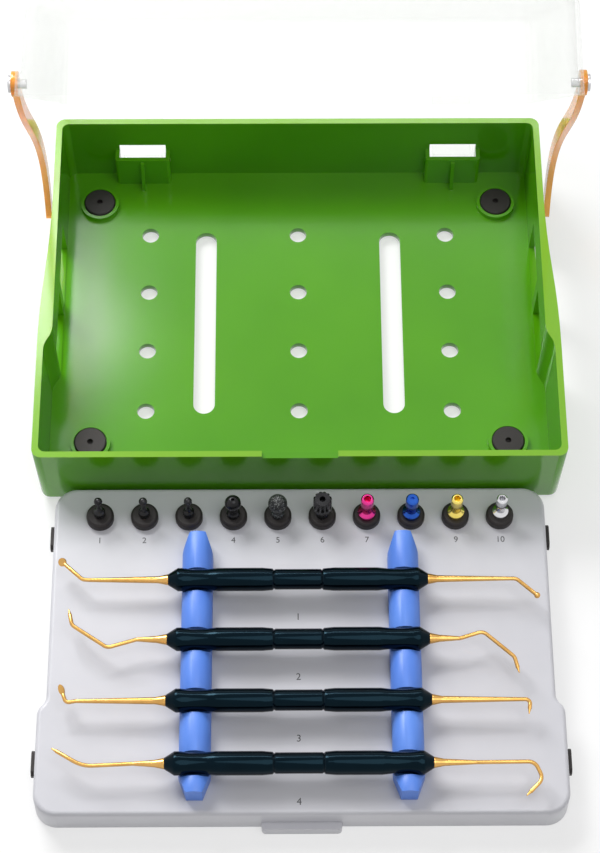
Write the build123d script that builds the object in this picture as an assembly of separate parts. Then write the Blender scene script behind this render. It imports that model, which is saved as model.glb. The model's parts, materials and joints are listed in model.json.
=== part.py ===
from build123d import *
import math
import os

# A dental implant surgery kit: a moulded base box with a clear hinged lid,
# and a lift-out tray of tools that stands on the table in front of the box.
# Millimetres, +X right, +Y to the back, +Z up. The pieces are made with the
# origin on the table under the middle of the box, and are moved at the end so
# that it lies under the middle of the whole kit, laid out with its lid open.

# Base box
box_width = 190.0
box_depth = 146.0
rim_height = 36.0
side_step = 3.0
wall = 2.3
floor_thickness = 2.5
foot_lift = 1.5
wall_draft = 1.2
rim_corner = 3.5
bottom_round = 3.0
outer_step_rear = 38.0
outer_step_front = -28.0
inner_step_rear = -19.0
inner_step_front = -29.0
floor_shift = 2.0
notch_width = 27.0
notch_depth = 1.3

# Openings in the box
hole_radius = 3.2
hole_pitch_x = 57.0
hole_pitch_y = 25.9
hole_rows = 4
slot_width = 8.0
slot_length = 80.0
slot_offset = 35.4
side_window_length = 25.0
side_window_post = 5.0
side_window_middle = 7.0
side_window_top = 21.5
side_window_sill = 0.6
cup_offset_x = 77.0
cup_offset_y = 52.9
cup_radius = 6.2
cup_wall = 1.2
cup_height = 2.0
cup_floor = 0.8
foot_stem = 3.0
foot_radius = 6.0
foot_hole = 1.1
foot_disc = 1.8
foot_fit = 0.3
foot_chamfer = 0.4

# Lid hinge
hinge_offset = 60.0
hinge_height = 15.0
hinge_window_width = 17.8
hinge_window_top = 22.5
hinge_window_bottom = 8.0
hinge_window_round = 1.5
pocket_wall = 1.6
pocket_depth = 5.6
pocket_top = 19.5
pocket_rib = 3.5
pocket_round = 1.2
gusset_thickness = 1.4
gusset_top = 1.0
wall_overlap = 0.5
pin_radius = 0.8
pin_clearance = 0.06
barrel_radius = 1.75
barrel_gap = 0.35
tongue_width = 15.0
tongue_thickness = 1.8
tongue_angle = 48.0
tongue_stand_off = 0.8
tongue_bridge_low = 3.0
tongue_bridge_high = 5.0

# Lid
lid_height = 33.0
lid_wall = 1.8
lid_inset = 0.3
lid_gap = 0.3
lid_draft = 3.0
lid_corner = 7.0
lid_round = 4.0
lid_open_angle = 55.0
grip_width = 26.0
grip_reach = 3.2
grip_thickness = 2.0
grip_drop = 4.5

# Side latches of the lid
latch_pivot_y = -46.0
latch_pivot_height = 4.5
latch_boss_radius = 4.0
latch_boss_proud = 0.1
latch_gap = 0.3
latch_thickness = 2.3
latch_width = 5.0
latch_eye_radius = 4.4
latch_lean = 12.8
latch_middle = 45.0
latch_middle_sag = 4.7
latch_bend = 91.0
latch_sag = 10.7
latch_reach = 121.5
latch_pin_radius = 1.6
latch_pin_head = 3.0
latch_pin_head_height = 1.0
latch_pin_play = 0.2

# Lift-out tray, standing in front of the box
tray_gap = 0.4
tray_depth = 123.5
tray_height = 12.5
tray_plate = 2.5
tray_skirt = 2.0
tray_fit = 0.7
tray_corner = 8.0
tray_round = 1.5
tray_step_rear = 80.0
tray_step_front = 87.0
tab_width = 27.5
tab_reach = 2.6
tab_thickness = 4.5
tab_round = 1.5
bumper_length = 9.0
bumper_height = 4.5
bumper_proud = 1.2
bumper_drop = 5.0
bumper_rear = 18.0
bumper_front = 103.5

# Rubber grommets and the tools in them
tool_count = 10
tool_pitch = 15.9
tool_line = 12.2
grommet_radius = 4.9
grommet_height = 3.4
grommet_neck = 3.5
grommet_lip = 4.2
grommet_lip_height = 1.6
grommet_chamfer = 0.8
grommet_lip_chamfer = 0.6
collar_seat = 0.05
shank_clearance = 0.08
tool_height = 15.0
shank_drop = 8.0
latch_shank_radius = 1.175
thick_shank_radius = 1.5

# Instrument holders and instruments
holder_offset = 36.3
holder_width = 10.8
holder_tip_width = 5.6
holder_taper = 7.0
holder_height = 9.0
holder_edge = 4.0
holder_start = 21.5
holder_length = 97.0
saddle_clearance = 0.3
handle_lift = 8.2
first_instrument = 40.2
instrument_pitch = 22.7
instrument_count = 4
instrument_shift = -0.9
handle_half = 45.5
handle_radius = 4.1
handle_waist = 3.7
handle_waist_low = 28.0
handle_waist_high = 40.5
handle_waist_taper = 3.5
handle_centre_radius = 3.6
handle_centre_half = 8.4
handle_nose = 3.4
handle_end_radius = 1.95
joint_groove = 0.35
joint_groove_half = 0.5
joint_shoulder = 0.3
joint_taper = 4.0
collar_length = 3.4
collar_end_radius = 1.25
tip_radius = 0.7
tip_overlap = 0.4
disc_radius = 1.5
disc_thickness = 0.6
ball_radius = 1.1
spoon_length = 4.0
spoon_width = 2.1
spoon_thickness = 0.7
spoon_tilt = 25.0
disc_tilt = 35.0
point_length = 2.4
point_end_radius = 0.15


def leaning(height):
    """How far a drafted wall leans out over the given height."""
    return height * math.tan(math.radians(wall_draft))


def side_step_arcs(start, end):
    """An S-curve of two equal arcs from start to end, along Y at both ends."""
    middle = ((start[0] + end[0]) / 2, (start[1] + end[1]) / 2)
    along = (0, math.copysign(1, end[1] - start[1]))
    first = TangentArc(start, middle, tangent=along)
    TangentArc(middle, end, tangent=first % 1)


def stepped_outline(rear_half, front_half, back, front, step_rear, step_front, corner, z):
    """A box outline that widens by an S-curve on each side, as a face at height z."""
    with BuildSketch(Plane.XY.offset(z)) as sketch:
        with BuildLine():
            Line((-rear_half, back), (rear_half, back))
            Line((rear_half, back), (rear_half, step_rear))
            side_step_arcs((rear_half, step_rear), (front_half, step_front))
            Line((front_half, step_front), (front_half, front))
            Line((front_half, front), (-front_half, front))
            Line((-front_half, front), (-front_half, step_front))
            side_step_arcs((-front_half, step_front), (-rear_half, step_rear))
            Line((-rear_half, step_rear), (-rear_half, back))
        make_face()
        corners = [v for v in sketch.vertices() if abs(v.Y - back) < 0.01 or abs(v.Y - front) < 0.01]
        fillet(corners, corner)
    return sketch.sketch.faces()[0]


def box_outline(inset, z, step_rear, step_front, corner):
    """The box's outline at height z, set in from the rim's outer edge."""
    inset = inset + leaning(rim_height - z)
    rear_half = box_width / 2 - side_step - inset
    front_half = box_width / 2 - inset
    depth = box_depth / 2 - inset
    return stepped_outline(rear_half, front_half, depth, -depth, step_rear, step_front, corner, z)


def block(x, y, z):
    """A box between three pairs of limits."""
    size = (x[1] - x[0], y[1] - y[0], z[1] - z[0])
    middle = (sum(x) / 2, sum(y) / 2, sum(z) / 2)
    return Pos(*middle) * Box(*size)


def rod_x(radius, low, high, y, z):
    """A round bar along X from low to high."""
    return Pos((low + high) / 2, y, z) * Rot(0, 90, 0) * Cylinder(radius, high - low)


floor_top = foot_lift + floor_thickness
half_depth = box_depth / 2
back_inner = half_depth - wall
hinge_y = back_inner - pocket_depth + pocket_wall + barrel_gap + barrel_radius
sides = (("left", -1), ("right", 1))
upward = (Align.CENTER, Align.CENTER, Align.MIN)


def base_shell():
    """The open box with drafted, stepped walls and a rounded bottom edge."""
    bottom = box_outline(0, foot_lift, outer_step_rear, outer_step_front, rim_corner)
    top = box_outline(0, rim_height, outer_step_rear, outer_step_front, rim_corner)
    outer = loft([bottom, top])
    outer = fillet(outer.faces().sort_by(Axis.Z)[0].edges(), bottom_round)
    low = box_outline(wall, floor_top, inner_step_rear, inner_step_front, rim_corner - 1)
    high = box_outline(wall, rim_height + 1, inner_step_rear, inner_step_front, rim_corner - 1)
    return outer - loft([low, high])


def hinge_pocket(centre):
    """A U-shaped wall with a gusset, moulded round the lower part of a hinge window."""
    half = hinge_window_width / 2 + pocket_wall
    front = back_inner - pocket_depth
    u_wall = block((-half, half), (front, half_depth - wall / 2), (floor_top - wall_overlap, pocket_top))
    u_wall = fillet(u_wall.edges().filter_by(Axis.Z).group_by(Axis.Y)[0], pocket_round)
    cavity = block(
        (-half + pocket_wall, half - pocket_wall),
        (front + pocket_wall, half_depth),
        (floor_top, pocket_top + 1),
    )
    gusset_side = Plane.YZ * make_face(
        Polyline(
            (front + wall_overlap, floor_top - wall_overlap),
            (front - pocket_rib, floor_top - wall_overlap),
            (front - gusset_top, pocket_top - gusset_top),
            (front + wall_overlap, pocket_top - gusset_top),
            close=True,
        )
    )
    gusset = extrude(gusset_side, gusset_thickness / 2, both=True)
    return Pos(centre, 0, 0) * (u_wall - cavity + gusset)


def cup_places():
    """Where the four cups and feet stand."""
    return [(x * cup_offset_x, y * cup_offset_y + floor_shift) for x in (-1, 1) for y in (-1, 1)]


def floor_cuts():
    """The round holes and long slots through the floor."""
    through = 4 * floor_thickness
    cuts = []
    for column in (-1, 0, 1):
        for row in range(hole_rows):
            y = (row - (hole_rows - 1) / 2) * hole_pitch_y + floor_shift
            cuts.append(Pos(column * hole_pitch_x, y, foot_lift) * Cylinder(hole_radius, through))
    for sign in (-1, 1):
        slot = extrude(SlotOverall(slot_length, slot_width, rotation=90), through)
        cuts.append(Pos(sign * slot_offset, floor_shift, -floor_thickness) * slot)
    return cuts


def hinge_cuts(sign):
    """A hinge window through the back wall, and the pin's bore through both cheeks."""
    half = hinge_window_width / 2
    window = block((-half, half), (hinge_y, half_depth + wall), (hinge_window_bottom, hinge_window_top))
    window = fillet(window.edges().filter_by(Axis.Y).group_by(Axis.Z)[0], hinge_window_round)
    bore_half = half + 2 * pocket_wall
    centre = sign * hinge_offset
    return [
        Pos(centre, 0, 0) * window,
        rod_x(pin_radius, centre - bore_half, centre + bore_half, hinge_y, hinge_height),
    ]


def side_window_cuts(sign):
    """Two windows through one side wall, with a post between them."""
    x_range = sorted((sign * (box_width / 2 - side_step - 3 * wall), sign * (box_width / 2 + wall)))
    cuts = []
    for end in (-1, 1):
        middle = side_window_middle + end * (side_window_length + side_window_post) / 2
        y_range = (middle - side_window_length / 2, middle + side_window_length / 2)
        cuts.append(block(x_range, y_range, (floor_top + side_window_sill, side_window_top)))
    return cuts


def base_box():
    """The complete moulded base."""
    body = base_shell()
    for sign in (-1, 1):
        body += hinge_pocket(sign * hinge_offset)
    for x, y in cup_places():
        ring = Cylinder(cup_radius + cup_wall, cup_height + wall_overlap, align=upward)
        body += Pos(x, y, floor_top - wall_overlap) * ring
    cuts = floor_cuts()
    for sign in (-1, 1):
        cuts += hinge_cuts(sign)
        cuts += side_window_cuts(sign)
    for x, y in cup_places():
        cuts.append(Pos(x, y, floor_top + cup_floor) * Cylinder(cup_radius, 2 * cup_height, align=upward))
        cuts.append(Pos(x, y, 0) * Cylinder(foot_stem, 4 * floor_thickness))
    notch_y = (-half_depth - wall, -half_depth + 2 * wall)
    notch_z = (rim_height - notch_depth, rim_height + wall)
    cuts.append(block((-notch_width / 2, notch_width / 2), notch_y, notch_z))
    return body - cuts


def rubber_foot(x, y):
    """A rubber plug: a foot under the floor, a stem through it and a disc in the cup."""
    pad = Cylinder(foot_radius, foot_lift, align=upward)
    pad = chamfer(pad.edges().sort_by(Axis.Z)[0], foot_chamfer)
    disc_bottom = floor_top + cup_floor
    stem = Cylinder(foot_stem, disc_bottom + foot_disc / 2, align=upward)
    disc = Pos(0, 0, disc_bottom) * Cylinder(cup_radius - foot_fit, foot_disc, align=upward)
    disc = chamfer(disc.edges().sort_by(Axis.Z)[-1], foot_chamfer)
    hole = Pos(0, 0, disc_bottom) * Cylinder(foot_hole, 2 * foot_disc, align=upward)
    return Pos(x, y, 0) * (pad + stem + disc - hole)


def hinge_pin(centre):
    """A steel pin across the cheeks of a hinge pocket."""
    half = hinge_window_width / 2 + pocket_wall
    return rod_x(pin_radius, centre - half, centre + half, hinge_y, hinge_height)


lid_base = rim_height + lid_gap
lid_top = lid_base + lid_height


def lid_outline(inset, z, corner):
    """The lid's outline at height z, set in from its rim."""
    inset = lid_inset + inset + (z - lid_base) * math.tan(math.radians(lid_draft))
    rear_half = box_width / 2 - side_step - inset
    front_half = box_width / 2 - inset
    depth = half_depth - inset
    return stepped_outline(rear_half, front_half, depth, -depth, outer_step_rear, outer_step_front, corner, z)


def lid_wall_x(z):
    """Half width of the lid's outside at the latch pivot."""
    return box_width / 2 - lid_inset - (z - lid_base) * math.tan(math.radians(lid_draft))


def closed_lid():
    """The clear lid as it lies when shut."""
    outer = loft([lid_outline(0, lid_base, lid_corner), lid_outline(0, lid_top, lid_corner)])
    outer = fillet(outer.faces().sort_by(Axis.Z)[-1].edges(), lid_round)
    low = lid_outline(lid_wall, lid_base - 1, lid_corner - lid_wall)
    high = lid_outline(lid_wall, lid_top - lid_wall, lid_corner - lid_wall)
    shell = outer - loft([low, high])
    front = -half_depth + lid_inset
    grip_z = lid_base + grip_drop
    root_y = front + lid_wall / 2
    lens = Plane.XY.offset(grip_z) * make_face(
        ThreePointArc((-grip_width / 2, root_y), (0, front - grip_reach), (grip_width / 2, root_y))
        + Line((grip_width / 2, root_y), (-grip_width / 2, root_y))
    )
    shell += extrude(lens, grip_thickness)
    wall_x = lid_wall_x(latch_pivot_z)
    for sign in (-1, 1):
        shell += Pos(sign * hinge_offset, 0, 0) * lid_tongue()
        boss_x = sorted((sign * (wall_x - lid_wall / 2), sign * latch_inner))
        shell += rod_x(latch_boss_radius, boss_x[0], boss_x[1], latch_pivot_y, latch_pivot_z)
        bore_x = sorted((sign * (wall_x - 2 * lid_wall), sign * (latch_inner + lid_wall)))
        shell -= rod_x(latch_pin_radius, bore_x[0], bore_x[1], latch_pivot_y, latch_pivot_z)
    return shell


def lid_tongue():
    """A hinge tongue: a barrel in the pocket, a neck through the window and a leg up to the lid."""
    half = tongue_width / 2
    thin = tongue_thickness
    lean = math.radians(tongue_angle)
    leg_y = half_depth + tongue_stand_off
    reach = (leg_y + thin / 2 - hinge_y) / math.cos(lean)
    bend_z = hinge_height + reach * math.sin(lean)
    barrel = rod_x(barrel_radius, -half, half, hinge_y, hinge_height)
    neck = Pos(0, hinge_y, hinge_height) * Rot(tongue_angle, 0, 0) * block(
        (-half, half), (0, reach + thin / 3), (-thin / 2, thin / 2)
    )
    leg = block((-half, half), (leg_y, leg_y + thin), (bend_z - thin / 2, lid_base + tongue_bridge_high))
    bridge = block(
        (-half, half),
        (half_depth - lid_inset - lid_wall / 2, leg_y + thin),
        (lid_base + tongue_bridge_low, lid_base + tongue_bridge_high),
    )
    bore = rod_x(pin_radius + pin_clearance, -half - 1, half + 1, hinge_y, hinge_height)
    return barrel + neck + leg + bridge - bore


latch_pivot_z = lid_base + latch_pivot_height
latch_inner = box_width / 2 + latch_boss_proud


def latch_arm(sign):
    """A side latch in the lid's closed frame, pointing to the back: an eye and a bowed arm."""
    with BuildSketch(Plane.YZ) as side:
        with BuildLine():
            Spline((0, 0), (latch_middle, latch_middle_sag), (latch_bend, latch_sag), (latch_reach, 0))
        trace(line_width=latch_width)
    arm = extrude(side.sketch, latch_thickness)
    eye = rod_x(latch_eye_radius, 0, latch_thickness, 0, 0)
    end = rod_x(latch_width / 2, 0, latch_thickness, latch_reach, 0)
    bore = rod_x(latch_pin_radius + pin_clearance, -latch_thickness, 2 * latch_thickness, 0, 0)
    body = Rot(lid_open_angle + latch_lean - 90, 0, 0) * (arm + eye + end - bore)
    if sign < 0:
        body = mirror(body, Plane.YZ)
    return Pos(sign * (latch_inner + latch_gap), latch_pivot_y, latch_pivot_z) * body


def latch_pin(sign):
    """A headed pin through the latch's eye into the lid's boss."""
    root = lid_wall_x(latch_pivot_z) - lid_wall
    outer = latch_inner + latch_gap + latch_thickness + latch_pin_play
    shaft = sorted((sign * root, sign * (outer + latch_pin_head_height / 2)))
    head = sorted((sign * outer, sign * (outer + latch_pin_head_height)))
    pin = rod_x(latch_pin_radius, shaft[0], shaft[1], latch_pivot_y, latch_pivot_z)
    return pin + rod_x(latch_pin_head, head[0], head[1], latch_pivot_y, latch_pivot_z)


def opened(shape):
    """Turns a piece of the closed lid about the hinge to where it stands open."""
    return Pos(0, hinge_y, hinge_height) * Rot(-lid_open_angle, 0, 0) * Pos(0, -hinge_y, -hinge_height) * shape


tray_back = -half_depth - tray_gap
tray_front = tray_back - tray_depth
tray_half_rear = box_width / 2 - side_step - wall - leaning(rim_height - floor_top) - tray_fit
tray_half_front = tray_half_rear + side_step
plate_bottom = tray_height - tray_plate


def tray_outline(inset, z, corner):
    """The tray's outline at height z."""
    lean = leaning(tray_height - z)
    grow = lean - inset
    return stepped_outline(
        tray_half_rear + grow - leaning(tray_height), tray_half_front + grow - leaning(tray_height),
        tray_back - inset, tray_front + inset,
        tray_back - tray_step_rear, tray_back - tray_step_front, corner, z
    )


def tool_x(index):
    """Centre line of a tool, counted from the left."""
    return (index - (tool_count - 1) / 2) * tool_pitch


def tray():
    """The satin tray: a plate on a skirt, with tool holes and a pull tab."""
    outer = loft([tray_outline(0, 0, tray_corner), tray_outline(0, tray_height, tray_corner)])
    outer = fillet(outer.faces().sort_by(Axis.Z)[-1].edges(), tray_round)
    low = tray_outline(tray_skirt, -1, tray_corner - tray_skirt)
    high = tray_outline(tray_skirt, plate_bottom, tray_corner - tray_skirt)
    body = outer - loft([low, high])
    tab = block((-tab_width / 2, tab_width / 2), (tray_front - tab_reach, tray_front + tray_skirt / 2), (0, tab_thickness))
    tab = fillet(tab.edges().filter_by(Axis.Z).group_by(Axis.Y)[0], tab_round)
    body += tab
    for index in range(tool_count):
        body -= Pos(tool_x(index), tray_back - tool_line, tray_height) * Cylinder(grommet_neck, 4 * tray_plate)
    return body


def bumper(sign, distance, front_part):
    """A rubber button on the tray's side wall."""
    half_width = tray_half_front if front_part else tray_half_rear
    z_middle = tray_height - bumper_drop
    lean = leaning(tray_height - z_middle + bumper_height)
    inner = half_width + lean - leaning(tray_height)
    x_range = sorted((sign * inner, sign * (inner + bumper_proud)))
    y = tray_back - distance
    button = block(
        x_range,
        (y - bumper_length / 2, y + bumper_length / 2),
        (z_middle - bumper_height / 2, z_middle + bumper_height / 2),
    )
    return chamfer(button.edges().filter_by(Axis.X), bumper_height / 4)


def grommet(index, bore_radius):
    """A rubber grommet snapped into the tray's plate."""
    flange = Pos(0, 0, tray_height) * Cylinder(grommet_radius, grommet_height, align=upward)
    flange = chamfer(flange.edges().sort_by(Axis.Z)[-1], grommet_chamfer)
    neck_low = plate_bottom - grommet_lip_height / 2
    neck = Pos(0, 0, neck_low) * Cylinder(grommet_neck, tray_height - neck_low + grommet_height / 2, align=upward)
    lip = Pos(0, 0, plate_bottom - grommet_lip_height) * Cylinder(grommet_lip, grommet_lip_height, align=upward)
    lip = chamfer(lip.edges().sort_by(Axis.Z)[0], grommet_lip_chamfer)
    bore = Cylinder(bore_radius + shank_clearance, 4 * tray_height)
    return Pos(tool_x(index), tray_back - tool_line, 0) * (flange + neck + lip - bore)


grommet_top = tray_height + grommet_height
seat = grommet_top + collar_seat


def turned(points):
    """A solid of revolution about Z from its half profile."""
    return revolve(Plane.XZ * make_face(Polyline(*points, close=True)), Axis.Z)


def slender_bur(flutes):
    """A round bur on a slender neck, with a latch shank and a hub."""
    ball = 1.5
    ball_z = tray_height + tool_height - ball
    body = turned([
        (0, tray_height - shank_drop), (latch_shank_radius, tray_height - shank_drop),
        (latch_shank_radius, seat), (2.0, seat), (2.0, seat + 2.6),
        (1.1, seat + 3.6), (0.65, seat + 5.0), (0.55, ball_z), (0, ball_z),
    ])
    body += Pos(0, 0, ball_z) * Sphere(ball)
    for number in range(flutes):
        turn = Rot(0, 0, number * 360 / flutes)
        body -= Pos(0, 0, ball_z) * turn * Pos(ball, 0, 0) * Cylinder(0.35, 2 * ball)
    return body


def round_head(radius, dimple):
    """A thick shank with a collar and a large ball."""
    ball_z = tray_height + tool_height - radius
    body = turned([
        (0, tray_height - shank_drop), (thick_shank_radius, tray_height - shank_drop),
        (thick_shank_radius, seat), (2.4, seat), (2.4, seat + 1.6), (1.7, seat + 2.4),
        (1.7, ball_z), (0, ball_z),
    ])
    body += Pos(0, 0, ball_z) * Sphere(radius)
    if dimple:
        body -= Pos(0, 0, ball_z + radius) * Cone(0.2, 1.2, 2)
    return body


def toothed_head(radius, teeth):
    """A cylindrical cutter with a ring of teeth and a hollow end."""
    head_low = seat + 3.0
    head_top = tray_height + tool_height
    body = turned([
        (0, tray_height - shank_drop), (thick_shank_radius, tray_height - shank_drop),
        (thick_shank_radius, seat), (2.4, seat), (2.4, seat + 1.4), (1.8, seat + 2.2),
        (1.8, head_low), (radius - 0.8, head_low), (radius, head_low + 1.4),
        (radius, head_top - 0.6), (radius - 0.6, head_top), (1.1, head_top),
        (1.1, head_top - 3), (0, head_top - 3),
    ])
    for number in range(teeth):
        turn = Rot(0, 0, number * 360 / teeth)
        body -= turn * Pos(radius + 0.15, 0, head_top) * Rot(0, 0, 45) * Box(1.1, 1.1, 9)
    return body


def ring_driver(radius, bore, closed):
    """A coloured insert driver with a collar, a waist and a round top."""
    top = tray_height + tool_height
    points = [
        (0, tray_height - shank_drop), (thick_shank_radius, tray_height - shank_drop),
        (thick_shank_radius, seat), (radius + 0.9, seat), (radius + 0.9, seat + 2.0),
        (radius - 0.3, seat + 3.0), (radius - 0.3, seat + 5.6), (radius, seat + 6.4),
        (radius, top - 0.5), (radius - 0.5, top),
    ]
    if closed:
        points += [(0.7, top), (0.7, top - 0.6), (0, top - 0.6)]
    else:
        points += [(bore, top), (bore, top - 4), (0, top - 4)]
    return turned(points)


tool_makers = (
    ("round_bur_small", latch_shank_radius, lambda: slender_bur(0)),
    ("round_bur_medium", latch_shank_radius, lambda: slender_bur(0)),
    ("fluted_bur", latch_shank_radius, lambda: slender_bur(8)),
    ("dimple_bur", thick_shank_radius, lambda: round_head(2.9, True)),
    ("diamond_bur", thick_shank_radius, lambda: round_head(3.4, False)),
    ("toothed_cutter", thick_shank_radius, lambda: toothed_head(3.3, 12)),
    ("driver_magenta", thick_shank_radius, lambda: ring_driver(2.3, 1.3, False)),
    ("driver_blue", thick_shank_radius, lambda: ring_driver(2.3, 1.3, True)),
    ("driver_gold", thick_shank_radius, lambda: ring_driver(2.1, 1.2, False)),
    ("driver_silver", thick_shank_radius, lambda: ring_driver(1.95, 1.1, False)),
)


handle_z = tray_height + handle_lift
instrument_lines = [first_instrument + number * instrument_pitch for number in range(instrument_count)]


def holder(centre):
    """A silicone bar with tapered ends and a saddle for each instrument."""
    start = tray_back - holder_start
    end = start - holder_length
    half = holder_width / 2
    tip = holder_tip_width / 2
    plan = Plane.XY.offset(tray_height) * make_face(
        Polyline(
            (-tip, start), (tip, start), (half, start - holder_taper), (half, end + holder_taper),
            (tip, end), (-tip, end), (-half, end + holder_taper), (-half, start - holder_taper), close=True,
        )
    )
    body = extrude(plan, holder_height)
    section = Plane.XZ * make_face(
        Polyline((-half, tray_height), (half, tray_height), (half, tray_height + holder_edge))
        + ThreePointArc(
            (half, tray_height + holder_edge),
            (0, tray_height + holder_height),
            (-half, tray_height + holder_edge),
        )
        + Line((-half, tray_height + holder_edge), (-half, tray_height))
    )
    arch = Pos(0, start + 1, 0) * extrude(section, holder_length + 2)
    body = body & arch
    for line in instrument_lines:
        y = tray_back - line
        body -= rod_x(handle_radius + saddle_clearance, -half - 1, half + 1, y, handle_z)
        mouth = block(
            (-half - 1, half + 1),
            (y - handle_radius - saddle_clearance, y + handle_radius + saddle_clearance),
            (handle_z, handle_z + 10),
        )
        body -= mouth
    return Pos(centre, 0, 0) * body


def handle(line):
    """A turned handle, symmetric about its middle, with waists, joint grooves and conical noses."""
    right = [
        (0, 0), (0, handle_centre_radius),
        (handle_centre_half - joint_groove_half, handle_centre_radius),
        (handle_centre_half, handle_centre_radius - joint_groove),
        (handle_centre_half + joint_groove_half, handle_radius - joint_shoulder),
        (handle_centre_half + joint_taper, handle_radius),
        (handle_waist_low, handle_radius),
        (handle_waist_low + handle_waist_taper, handle_waist),
        (handle_waist_high - handle_waist_taper, handle_waist),
        (handle_waist_high, handle_radius),
        (handle_half - handle_nose, handle_radius),
        (handle_half, handle_end_radius), (handle_half, 0),
    ]
    half = revolve(Plane.XY * make_face(Polyline(*right, close=True)), Axis.X)
    whole = half + mirror(half, Plane.YZ)
    return Pos(instrument_shift, tray_back - line, handle_z) * whole


def bent_wire(points, bends, radius):
    """A round wire along straight runs joined by arcs, in the plane of the tray."""
    path = FilletPolyline(*points, radius=bends)
    start = Plane(origin=path @ 0, z_dir=path % 0)
    return sweep(start * Circle(radius), path=path)


def at_wire_end(points, tip):
    """Puts a tip that points along X at the end of the wire, in line with its last run."""
    (x_from, y_from), (x_to, y_to) = points[-2:]
    turn = math.degrees(math.atan2(y_to - y_from, x_to - x_from))
    return Pos(x_to, y_to, 0) * Rot(0, 0, turn) * Pos(-tip_overlap, 0, 0) * tip


def working_end(points, bends, tip):
    """A gold end: a collar at the handle, a tapering shank and a bent wire with its tip."""
    collar = Pos(handle_half + collar_length / 2, 0, 0) * Rot(0, 90, 0) * Cone(
        handle_end_radius, collar_end_radius, collar_length
    )
    run = points[0][0] - handle_half - collar_length
    taper = Pos(points[0][0] - run / 2, 0, 0) * Rot(0, 90, 0) * Cone(collar_end_radius, tip_radius, run)
    return collar + taper + bent_wire(points, bends, tip_radius) + at_wire_end(points, tip)


def disc_tip():
    """A small round disc, tilted to the shank."""
    return Pos(disc_radius, 0, 0) * Rot(disc_tilt, 0, 0) * Cylinder(disc_radius, disc_thickness)


def ball_tip():
    """A small ball."""
    return Pos(ball_radius, 0, 0) * Sphere(ball_radius)


def spoon_tip():
    """A flattened spoon blade."""
    blade = extrude(Ellipse(spoon_length / 2, spoon_width / 2), spoon_thickness / 2, both=True)
    return Pos(spoon_length / 2, 0, 0) * Rot(spoon_tilt, 0, 0) * blade


def point_tip():
    """A short conical point that carries the wire on."""
    return Rot(0, 90, 0) * Cone(tip_radius, point_end_radius, point_length, align=upward)


# Each end as seen from above: the wire's points from the shank outwards, x from the middle of the
# handle and y from its axis, then the bend radius and the tip.
end_shapes = {
    "plane_elevator": (
        (((73.0, 0), (75.5, 0.2), (82.0, 6.2)), 3.0, disc_tip),
        (((74.0, 0), (76.5, 0), (83.0, -6.0)), 3.0, ball_tip),
    ),
    "broad_elevator": (
        (((56.0, 0), (66.0, -3.0), (78.5, 5.5), (79.4, 9.6)), 3.0, point_tip),
        (((56.0, 0), (64.0, 2.6), (74.5, -7.0), (75.4, -11.0)), 3.0, point_tip),
    ),
    "spoon_elevator": (
        (((76.0, 0), (79.5, -0.6), (80.6, 2.6)), 1.6, spoon_tip),
        (((76.0, 0), (79.2, 0), (78.7, -3.4)), 1.6, point_tip),
    ),
    "curette_hook": (
        (((56.0, 0), (73.0, -0.8), (82.0, 4.6)), 12.0, point_tip),
        (((60.0, 0), (79.5, 0.2), (82.0, -6.0), (77.5, -10.5)), 3.4, point_tip),
    ),
}


def gold_end(side, shape, line):
    """One working end of an instrument, in its place."""
    points, bends, tip = shape
    body = working_end(points, bends, tip())
    if side == "left":
        body = mirror(body, Plane.YZ)
    return Pos(instrument_shift, tray_back - line, handle_z) * body


def all_parts():
    """Every node by name."""
    parts = {"base_box": base_box()}
    for name, (x, y) in zip(("front_left", "rear_left", "front_right", "rear_right"), cup_places()):
        parts["rubber_foot_" + name] = rubber_foot(x, y)
    parts["lid"] = opened(closed_lid())
    for name, sign in sides:
        parts["hinge_pin_" + name] = hinge_pin(sign * hinge_offset)
        parts["side_latch_" + name] = opened(latch_arm(sign))
        parts["latch_pin_" + name] = opened(latch_pin(sign))
        parts["holder_" + name] = holder(sign * holder_offset)
        parts["bumper_rear_" + name] = bumper(sign, bumper_rear, False)
        parts["bumper_front_" + name] = bumper(sign, bumper_front, True)
    parts["tray"] = tray()
    for index, (name, shank, make) in enumerate(tool_makers):
        parts[f"grommet_{index + 1}"] = grommet(index, shank)
        parts[name] = Pos(tool_x(index), tray_back - tool_line, 0) * make()
    for (name, (left, right)), line in zip(end_shapes.items(), instrument_lines):
        parts[name + "_handle"] = handle(line)
        parts[name + "_left_end"] = gold_end("left", left, line)
        parts[name + "_right_end"] = gold_end("right", right, line)
    return parts


def centred(parts):
    """Moves every node so that the origin lies under the middle of the whole kit."""
    boxes = [shape.bounding_box() for shape in parts.values()]
    middle = (min(box.min.Y for box in boxes) + max(box.max.Y for box in boxes)) / 2
    return {name: Pos(0, -middle, 0) * shape for name, shape in parts.items()}


os.makedirs("parts", exist_ok=True)
for node, shape in centred(all_parts()).items():
    export_step(shape, f"parts/{node}.step")
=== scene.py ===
import json
import math

import bmesh
import bpy
from mathutils import Matrix, Vector


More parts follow.
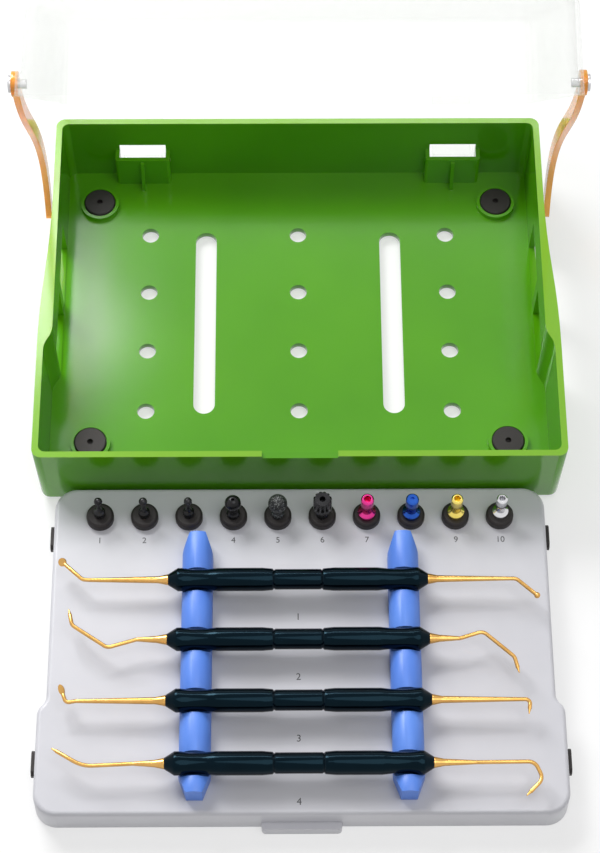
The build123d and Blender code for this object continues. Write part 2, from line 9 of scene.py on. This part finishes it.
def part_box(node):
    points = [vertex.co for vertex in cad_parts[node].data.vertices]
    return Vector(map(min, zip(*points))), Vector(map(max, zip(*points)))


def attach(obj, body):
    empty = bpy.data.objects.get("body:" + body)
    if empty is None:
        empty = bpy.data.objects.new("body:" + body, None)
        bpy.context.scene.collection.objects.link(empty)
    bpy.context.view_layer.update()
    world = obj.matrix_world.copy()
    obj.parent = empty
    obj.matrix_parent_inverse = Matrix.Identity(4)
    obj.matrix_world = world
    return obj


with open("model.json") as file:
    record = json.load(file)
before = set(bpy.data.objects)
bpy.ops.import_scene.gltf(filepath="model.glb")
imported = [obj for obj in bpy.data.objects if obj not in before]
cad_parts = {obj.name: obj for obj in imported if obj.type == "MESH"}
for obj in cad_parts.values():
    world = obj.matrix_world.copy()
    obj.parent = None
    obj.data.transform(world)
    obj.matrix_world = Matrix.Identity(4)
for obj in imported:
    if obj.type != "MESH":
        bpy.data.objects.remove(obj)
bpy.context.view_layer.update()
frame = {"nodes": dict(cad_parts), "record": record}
nodes = frame["nodes"]

# The photograph's frame and the fitted camera, in metres, degrees and pixels
PHOTO_HEIGHT = 853
SENSOR_HEIGHT = 36.0
CAMERA_FOCAL_PIXELS = 2394.7
CAMERA_PITCH = 61.42
CAMERA_YAW = -0.74
CAMERA_ROLL = 0.45
CAMERA_FROM_BOX = (-0.0052, -0.4680, 0.7832)

# Number plates on the tray, in metres
TOOL_NUMBER_SIZE = 0.0032
INSTRUMENT_NUMBER_SIZE = 0.0036
NUMBER_RAISE = 0.00002
NUMBER_THICKNESS = 0.00003
TOOL_NUMBER_DROP = 0.0088
INSTRUMENT_NUMBER_DROP = 0.0108

# The depth below the rim over which a painted highlight makes the green plastic paler, in metres
RIM_PAINTED_HIGHLIGHT_DEPTH = 0.0006

# The sockets of a Mix node set to colours: its factor, both colours and its result
MIX_FACTOR = 0
MIX_FIRST = 6
MIX_SECOND = 7
MIX_RESULT = 2

# The floor, in metres, and the share of the object's shadow that the camera sees on it
FLOOR_HALF_SIZE = 3.0
FLOOR_DROP = 0.0001
FLOOR_COLOUR = (0.94, 0.94, 0.94)
SHADOW_KEEP = 0.45
SKY_STRENGTH = 0.25

# Each lamp's place from the middle of the box on the table, its width and depth in metres, and its watts
LAMPS = {
    "back_left": ((-0.38, 0.46, 0.66), 0.42, 0.42, 8.0),
    "overhead": ((0.25, -0.35, 1.20), 0.8, 0.8, 5.0),
    "strip": ((0.0, 0.85, 1.00), 0.70, 0.12, 2.6),
}
LAMP_AIM_FORWARD = 0.04

TOOLS = (
    "round_bur_small",
    "round_bur_medium",
    "fluted_bur",
    "dimple_bur",
    "diamond_bur",
    "toothed_cutter",
    "driver_magenta",
    "driver_blue",
    "driver_gold",
    "driver_silver",
)
INSTRUMENTS = ("plane_elevator", "broad_elevator", "spoon_elevator", "curette_hook")


def new_material(name):
    """A new node material, its node tree and its one Principled shader."""
    material = bpy.data.materials.new(name)
    material.use_nodes = True
    tree = material.node_tree
    shader = tree.nodes["Principled BSDF"]
    return material, tree, shader


def noise(tree, scale, detail=3.0, roughness=0.5):
    """A noise texture in object space; scale is in features per metre."""
    place = tree.nodes.new("ShaderNodeTexCoord")
    texture = tree.nodes.new("ShaderNodeTexNoise")
    texture.inputs["Scale"].default_value = scale
    texture.inputs["Detail"].default_value = detail
    texture.inputs["Roughness"].default_value = roughness
    tree.links.new(place.outputs["Object"], texture.inputs["Vector"])
    return texture


def ramp(tree, source, stops):
    """A colour ramp fed by a texture. Each stop is a position and a colour."""
    node = tree.nodes.new("ShaderNodeValToRGB")
    elements = node.color_ramp.elements
    while len(elements) < len(stops):
        elements.new(0.5)
    for element, (position, colour) in zip(elements, stops):
        element.position = position
        element.color = (*colour, 1.0)
    tree.links.new(source, node.inputs["Fac"])
    return node.outputs["Color"]


def roughness_range(tree, shader, texture, low, high):
    """Drives the shader's roughness by a texture between two values."""
    node = tree.nodes.new("ShaderNodeMapRange")
    node.inputs["To Min"].default_value = low
    node.inputs["To Max"].default_value = high
    tree.links.new(texture.outputs["Fac"], node.inputs["Value"])
    tree.links.new(node.outputs["Result"], shader.inputs["Roughness"])


def bump(tree, shader, texture, strength, distance):
    """Adds a bump from a texture."""
    node = tree.nodes.new("ShaderNodeBump")
    node.inputs["Strength"].default_value = strength
    node.inputs["Distance"].default_value = distance
    tree.links.new(texture.outputs["Fac"], node.inputs["Height"])
    tree.links.new(node.outputs["Normal"], shader.inputs["Normal"])


def masked_height(tree, low, high):
    """A value that climbs from 0 to 1 between two heights of the piece."""
    place = tree.nodes.new("ShaderNodeTexCoord")
    split = tree.nodes.new("ShaderNodeSeparateXYZ")
    tree.links.new(place.outputs["Object"], split.inputs["Vector"])
    climb = tree.nodes.new("ShaderNodeMapRange")
    climb.inputs["From Min"].default_value = low
    climb.inputs["From Max"].default_value = high
    tree.links.new(split.outputs["Z"], climb.inputs["Value"])
    return climb.outputs["Result"]


def green_plastic():
    """Glossy moulded plastic with faint flow marks, and a painted highlight that makes it paler along the
    top of the thin rim.
    """
    material, tree, shader = new_material("green_plastic_look")
    cloud = noise(tree, 22.0, 2.0)
    body = ramp(
        tree,
        cloud.outputs["Fac"],
        ((0.3, (0.070, 0.290, 0.0015)), (0.7, (0.085, 0.330, 0.0025))),
    )
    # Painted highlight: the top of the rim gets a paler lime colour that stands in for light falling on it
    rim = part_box("base_box")[1][2]
    painted_rim_highlight = masked_height(tree, rim - RIM_PAINTED_HIGHLIGHT_DEPTH, rim)
    blend = tree.nodes.new("ShaderNodeMix")
    blend.data_type = "RGBA"
    blend.inputs[MIX_SECOND].default_value = (0.19, 0.43, 0.020, 1.0)
    tree.links.new(painted_rim_highlight, blend.inputs[MIX_FACTOR])
    tree.links.new(body, blend.inputs[MIX_FIRST])
    tree.links.new(blend.outputs[MIX_RESULT], shader.inputs["Base Color"])
    fine = noise(tree, 900.0, 2.0)
    roughness_range(tree, shader, fine, 0.10, 0.17)
    bump(tree, shader, noise(tree, 60.0, 1.0), 0.05, 0.0006)
    shader.inputs["Specular IOR Level"].default_value = 0.45
    shader.inputs["Subsurface Weight"].default_value = 0.06
    shader.inputs["Subsurface Radius"].default_value = (0.4, 1.0, 0.1)
    shader.inputs["Subsurface Scale"].default_value = 0.0015
    return material


def see_through(material, tree, shader, shadow_colour):
    """Lets lamps shine through a clear piece in its own tint."""
    output = tree.nodes["Material Output"]
    path = tree.nodes.new("ShaderNodeLightPath")
    clear = tree.nodes.new("ShaderNodeBsdfTransparent")
    clear.inputs["Color"].default_value = (*shadow_colour, 1.0)
    mix = tree.nodes.new("ShaderNodeMixShader")
    tree.links.new(path.outputs["Is Shadow Ray"], mix.inputs["Fac"])
    tree.links.new(shader.outputs["BSDF"], mix.inputs[1])
    tree.links.new(clear.outputs["BSDF"], mix.inputs[2])
    tree.links.new(mix.outputs["Shader"], output.inputs["Surface"])
    return material


def clear_plastic():
    """Clear polished plastic with a trace of haze, see-through face on and paler seen edge on."""
    material, tree, shader = new_material("clear_lid_look")
    shader.inputs["Base Color"].default_value = (0.86, 0.88, 0.85, 1.0)
    edge = tree.nodes.new("ShaderNodeLayerWeight")
    edge.inputs["Blend"].default_value = 0.30
    cover = tree.nodes.new("ShaderNodeMapRange")
    cover.inputs["To Min"].default_value = 0.06
    cover.inputs["To Max"].default_value = 0.34
    tree.links.new(edge.outputs["Facing"], cover.inputs["Value"])
    tree.links.new(cover.outputs["Result"], shader.inputs["Alpha"])
    haze = noise(tree, 300.0, 2.0)
    roughness_range(tree, shader, haze, 0.03, 0.07)
    return material


def amber_plastic():
    """Translucent amber plastic, deeper where it is thick."""
    material, tree, shader = new_material("amber_look")
    cloud = noise(tree, 70.0, 2.0)
    colour = ramp(
        tree,
        cloud.outputs["Fac"],
        ((0.25, (0.82, 0.36, 0.035)), (0.75, (0.95, 0.54, 0.10))),
    )
    tree.links.new(colour, shader.inputs["Base Color"])
    shader.inputs["Transmission Weight"].default_value = 0.45
    shader.inputs["IOR"].default_value = 1.45
    fine = noise(tree, 800.0, 2.0)
    roughness_range(tree, shader, fine, 0.08, 0.18)
    shader.inputs["Subsurface Weight"].default_value = 0.3
    shader.inputs["Subsurface Radius"].default_value = (1.0, 0.5, 0.1)
    shader.inputs["Subsurface Scale"].default_value = 0.003
    return see_through(material, tree, shader, (0.95, 0.72, 0.35))


def plain_finish(name, dark, light, rough, grain, bump_strength, bump_distance, specular=0.5):
    """A plastic or rubber with a fine grain."""
    material, tree, shader = new_material(name)
    shader.inputs["Specular IOR Level"].default_value = specular
    cloud = noise(tree, 45.0, 3.0)
    colour = ramp(tree, cloud.outputs["Fac"], ((0.3, dark), (0.7, light)))
    tree.links.new(colour, shader.inputs["Base Color"])
    fine = noise(tree, grain, 3.0)
    roughness_range(tree, shader, fine, rough - 0.05, rough + 0.06)
    bump(tree, shader, fine, bump_strength, bump_distance)
    return material


def metal_finish(name, dark, light, rough, metallic=1.0, streaks=0.0):
    """A metal with soft variation, and turning marks round the X axis where streaks is given."""
    material, tree, shader = new_material(name)
    cloud = noise(tree, 160.0, 3.0)
    colour = ramp(tree, cloud.outputs["Fac"], ((0.3, dark), (0.7, light)))
    tree.links.new(colour, shader.inputs["Base Color"])
    shader.inputs["Metallic"].default_value = metallic
    fine = noise(tree, 1500.0, 2.0)
    roughness_range(tree, shader, fine, rough - 0.03, rough + 0.05)
    if streaks:
        mapping = tree.nodes.new("ShaderNodeMapping")
        mapping.inputs["Scale"].default_value = (streaks, 1.0, 1.0)
        place = tree.nodes.new("ShaderNodeTexCoord")
        lines = tree.nodes.new("ShaderNodeTexNoise")
        lines.inputs["Scale"].default_value = 30.0
        tree.links.new(place.outputs["Object"], mapping.inputs["Vector"])
        tree.links.new(mapping.outputs["Vector"], lines.inputs["Vector"])
        bump(tree, shader, lines, 0.15, 0.00003)
    return material


def handle_coating():
    """A deep blue-black glossy coat with cool reflections."""
    material, tree, shader = new_material("dark_handle_look")
    cloud = noise(tree, 120.0, 3.0)
    colour = ramp(
        tree,
        cloud.outputs["Fac"],
        ((0.3, (0.0004, 0.0012, 0.003)), (0.7, (0.0008, 0.003, 0.006))),
    )
    tree.links.new(colour, shader.inputs["Base Color"])
    shader.inputs["Specular IOR Level"].default_value = 0.16
    shader.inputs["Specular Tint"].default_value = (0.30, 0.72, 1.0, 1.0)
    fine = noise(tree, 1500.0, 2.0)
    roughness_range(tree, shader, fine, 0.09, 0.15)
    return material


def diamond_grit():
    """Black steel covered with pale diamond grains."""
    material, tree, shader = new_material("diamond_grit_look")
    place = tree.nodes.new("ShaderNodeTexCoord")
    grains = tree.nodes.new("ShaderNodeTexVoronoi")
    grains.inputs["Scale"].default_value = 2200.0
    tree.links.new(place.outputs["Object"], grains.inputs["Vector"])
    colour = ramp(
        tree,
        grains.outputs["Distance"],
        ((0.12, (0.30, 0.32, 0.31)), (0.42, (0.012, 0.013, 0.014))),
    )
    tree.links.new(colour, shader.inputs["Base Color"])
    shader.inputs["Metallic"].default_value = 0.5
    shader.inputs["Roughness"].default_value = 0.38
    node = tree.nodes.new("ShaderNodeBump")
    node.inputs["Strength"].default_value = 0.8
    node.inputs["Distance"].default_value = 0.0002
    node.invert = True
    tree.links.new(grains.outputs["Distance"], node.inputs["Height"])
    tree.links.new(node.outputs["Normal"], shader.inputs["Normal"])
    return material


def all_materials():
    """One look for each material slot of the record, and a few for single pieces."""
    return {
        "green_plastic": green_plastic(),
        "clear_lid": clear_plastic(),
        "amber_plastic": amber_plastic(),
        "grey_tray": plain_finish(
            "grey_tray_look", (0.56, 0.56, 0.60), (0.60, 0.60, 0.64), 0.36, 1400.0, 0.12, 0.00006
        ),
        "black_rubber": plain_finish(
            "black_rubber_look", (0.016, 0.013, 0.013), (0.024, 0.020, 0.020), 0.5, 900.0, 0.3, 0.00008, 0.3
        ),
        "blue_silicone": plain_finish(
            "blue_silicone_look", (0.085, 0.215, 0.72), (0.115, 0.270, 0.80), 0.40, 700.0, 0.15, 0.00008
        ),
        "dark_handle": handle_coating(),
        "gold_coat": metal_finish(
            "gold_coat_look", (0.56, 0.31, 0.085), (0.68, 0.40, 0.13), 0.24, streaks=40.0
        ),
        "steel_pin": metal_finish("steel_pin_look", (0.50, 0.50, 0.52), (0.62, 0.62, 0.64), 0.28),
        "magenta_anodised": metal_finish(
            "magenta_look", (0.60, 0.035, 0.22), (0.74, 0.06, 0.30), 0.22
        ),
        "blue_anodised": metal_finish("blue_anodised_look", (0.02, 0.075, 0.36), (0.03, 0.11, 0.48), 0.22),
        "gold_anodised": metal_finish("gold_anodised_look", (0.74, 0.58, 0.12), (0.86, 0.70, 0.20), 0.22),
        "silver_steel": metal_finish("silver_look", (0.60, 0.60, 0.61), (0.72, 0.72, 0.74), 0.16),
        "black_steel": metal_finish(
            "black_steel_look", (0.012, 0.012, 0.013), (0.030, 0.030, 0.032), 0.26, metallic=0.8
        ),
        "diamond_grit": diamond_grit(),
        "print": plain_finish(
            "print_look", (0.050, 0.050, 0.055), (0.070, 0.070, 0.075), 0.5, 900.0, 0.05, 0.00002
        ),
    }


LOOKS = all_materials()
SLOT_OF_NODE = {row["node"]: row["material_slot"] for row in frame["record"]["subparts"]}


def dress_nodes():
    """Gives every CAD node its material."""
    for name, node in nodes.items():
        look = LOOKS[SLOT_OF_NODE[name]]
        if name == "diamond_bur":
            look = LOOKS["diamond_grit"]
        if not node.material_slots:
            node.data.materials.append(look)
        for slot in node.material_slots:
            slot.material = look


EDGE_RADIUS = {
    "base_box": 0.00045,
    "tray": 0.00035,
    "side_latch_left": 0.0005,
    "side_latch_right": 0.0005,
    "holder_left": 0.0008,
    "holder_right": 0.0008,
    "lid": 0.0003,
}
DEFAULT_EDGE = 0.00012
EDGE_ANGLE = math.radians(32)
WELD_DISTANCE = 0.000002


def soften_edges():
    """Rounds the sharp edges of every rigid node a little, as moulding and polishing do."""
    for name, node in nodes.items():
        weld = node.modifiers.new("join_corners", "WELD")
        weld.merge_threshold = WELD_DISTANCE
        bevel = node.modifiers.new("soft_edges", "BEVEL")
        bevel.width = EDGE_RADIUS.get(name, DEFAULT_EDGE)
        bevel.segments = 2
        bevel.limit_method = "ANGLE"
        bevel.angle_limit = EDGE_ANGLE
        bevel.use_clamp_overlap = True


def printed_number(name, text, size, place):
    """A plain printed number lying on the tray."""
    curve = bpy.data.curves.new(name, "FONT")
    curve.body = text
    curve.size = size
    curve.align_x = "CENTER"
    curve.align_y = "CENTER"
    curve.extrude = NUMBER_THICKNESS
    curve.materials.append(LOOKS["print"])
    piece = bpy.data.objects.new(name, curve)
    piece.location = place
    bpy.context.scene.collection.objects.link(piece)
    bpy.context.view_layer.update()
    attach(piece, "tray")


def centre(node):
    """The middle of a CAD node's box at rest."""
    low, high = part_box(node)
    return (Vector(low) + Vector(high)) / 2


def print_numbers():
    """Numbers one to ten under the tools and one to four under the instruments."""
    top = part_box("tray")[1][2] + NUMBER_RAISE
    for index, tool in enumerate(TOOLS):
        middle = centre(tool)
        place = (middle.x, middle.y - TOOL_NUMBER_DROP, top)
        printed_number(f"tool_number_{index + 1}", str(index + 1), TOOL_NUMBER_SIZE, place)
    for index, instrument in enumerate(INSTRUMENTS):
        middle = centre(instrument + "_handle")
        place = (middle.x, middle.y - INSTRUMENT_NUMBER_DROP, top)
        printed_number(
            f"instrument_number_{index + 1}", str(index + 1), INSTRUMENT_NUMBER_SIZE, place
        )


def larger(tree, first, second):
    """The larger of two values."""
    node = tree.nodes.new("ShaderNodeMath")
    node.operation = "MAXIMUM"
    tree.links.new(first, node.inputs[0])
    tree.links.new(second, node.inputs[1])
    return node.outputs["Value"]


def floor_look(colour, shadow_keep):
    """The floor: pale under the lamps, white to the camera and in gloss, with the object's shadow kept."""
    material, tree, shader = new_material("floor_look")
    cloud = noise(tree, 3.0, 2.0)
    tint = ramp(tree, cloud.outputs["Fac"], ((0.3, colour), (0.7, tuple(c * 0.995 for c in colour))))
    tree.links.new(tint, shader.inputs["Base Color"])
    shader.inputs["Roughness"].default_value = 0.85
    shader.inputs["Specular IOR Level"].default_value = 0.1
    glow = tree.nodes.new("ShaderNodeEmission")
    glow.inputs["Color"].default_value = (1.0, 1.0, 1.0, 1.0)
    path = tree.nodes.new("ShaderNodeLightPath")
    mirrored = larger(tree, path.outputs["Is Glossy Ray"], path.outputs["Is Transmission Ray"])
    seen = tree.nodes.new("ShaderNodeMath")
    seen.operation = "MULTIPLY_ADD"
    seen.inputs[1].default_value = 1.0 - shadow_keep
    tree.links.new(path.outputs["Is Camera Ray"], seen.inputs[0])
    tree.links.new(mirrored, seen.inputs[2])
    seen.use_clamp = True
    mix = tree.nodes.new("ShaderNodeMixShader")
    tree.links.new(seen.outputs["Value"], mix.inputs["Fac"])
    tree.links.new(shader.outputs["BSDF"], mix.inputs[1])
    tree.links.new(glow.outputs["Emission"], mix.inputs[2])
    tree.links.new(mix.outputs["Shader"], tree.nodes["Material Output"].inputs["Surface"])
    return material


def make_floor():
    """A plain pale floor under the feet."""
    mesh = bpy.data.meshes.new("floor")
    shape = bmesh.new()
    bmesh.ops.create_grid(shape, x_segments=1, y_segments=1, size=FLOOR_HALF_SIZE)
    shape.to_mesh(mesh)
    shape.free()
    floor = bpy.data.objects.new("floor", mesh)
    floor.location = (0.0, 0.0, -FLOOR_DROP)
    mesh.materials.append(floor_look(FLOOR_COLOUR, SHADOW_KEEP))
    bpy.context.scene.collection.objects.link(floor)


def make_world():
    """A plain studio sky: soft grey light on the object, white to the camera and in gloss."""
    world = bpy.data.worlds.new("studio")
    bpy.context.scene.world = world
    world.use_nodes = True
    tree = world.node_tree
    soft = tree.nodes["Background"]
    soft.inputs["Color"].default_value = (1.0, 1.0, 1.0, 1.0)
    soft.inputs["Strength"].default_value = SKY_STRENGTH
    white = tree.nodes.new("ShaderNodeBackground")
    white.inputs["Color"].default_value = (1.0, 1.0, 1.0, 1.0)
    white.inputs["Strength"].default_value = 1.0
    path = tree.nodes.new("ShaderNodeLightPath")
    straight = larger(tree, path.outputs["Is Camera Ray"], path.outputs["Is Transmission Ray"])
    seen = larger(tree, straight, path.outputs["Is Glossy Ray"])
    mix = tree.nodes.new("ShaderNodeMixShader")
    tree.links.new(seen, mix.inputs["Fac"])
    tree.links.new(soft.outputs["Background"], mix.inputs[1])
    tree.links.new(white.outputs["Background"], mix.inputs[2])
    tree.links.new(mix.outputs["Shader"], tree.nodes["World Output"].inputs["Surface"])


def soft_lamp(name, place, target, width, depth, power):
    """A flat soft lamp aimed at a point."""
    data = bpy.data.lights.new(name, "AREA")
    data.shape = "RECTANGLE"
    data.size = width
    data.size_y = depth
    data.energy = power
    lamp = bpy.data.objects.new(name, data)
    lamp.location = place
    aim = target - place
    lamp.rotation_euler = aim.to_track_quat("-Z", "Y").to_euler()
    bpy.context.scene.collection.objects.link(lamp)


def make_lamps():
    """A large lamp at the back left, one overhead, and a far strip that lines the handles with light."""
    middle = Vector((0.0, centre("base_box").y, 0.0))
    target = middle - Vector((0.0, LAMP_AIM_FORWARD, 0.0))
    for name, (place, width, depth, power) in LAMPS.items():
        soft_lamp(name, middle + Vector(place), target, width, depth, power)


def make_camera():
    """The camera at the photograph's angle, from the fitted pitch, yaw and roll."""
    data = bpy.data.cameras.new("photo_camera")
    data.sensor_fit = "VERTICAL"
    data.sensor_height = SENSOR_HEIGHT
    data.lens = SENSOR_HEIGHT * CAMERA_FOCAL_PIXELS / PHOTO_HEIGHT
    camera = bpy.data.objects.new("photo_camera", data)
    turn = Matrix.Rotation(math.radians(CAMERA_YAW), 4, "Z")
    tilt = Matrix.Rotation(math.radians(90.0 - CAMERA_PITCH), 4, "X")
    roll = Matrix.Rotation(math.radians(CAMERA_ROLL), 4, "Z")
    place = Vector(CAMERA_FROM_BOX) + Vector((0.0, centre("base_box").y, 0.0))
    camera.matrix_world = Matrix.Translation(place) @ turn @ tilt @ roll
    bpy.context.scene.collection.objects.link(camera)
    bpy.context.scene.camera = camera


bpy.context.scene.view_settings.view_transform = "Standard"
make_camera()
dress_nodes()
soften_edges()
print_numbers()
make_floor()
make_world()
make_lamps()

bpy.context.view_layer.update()
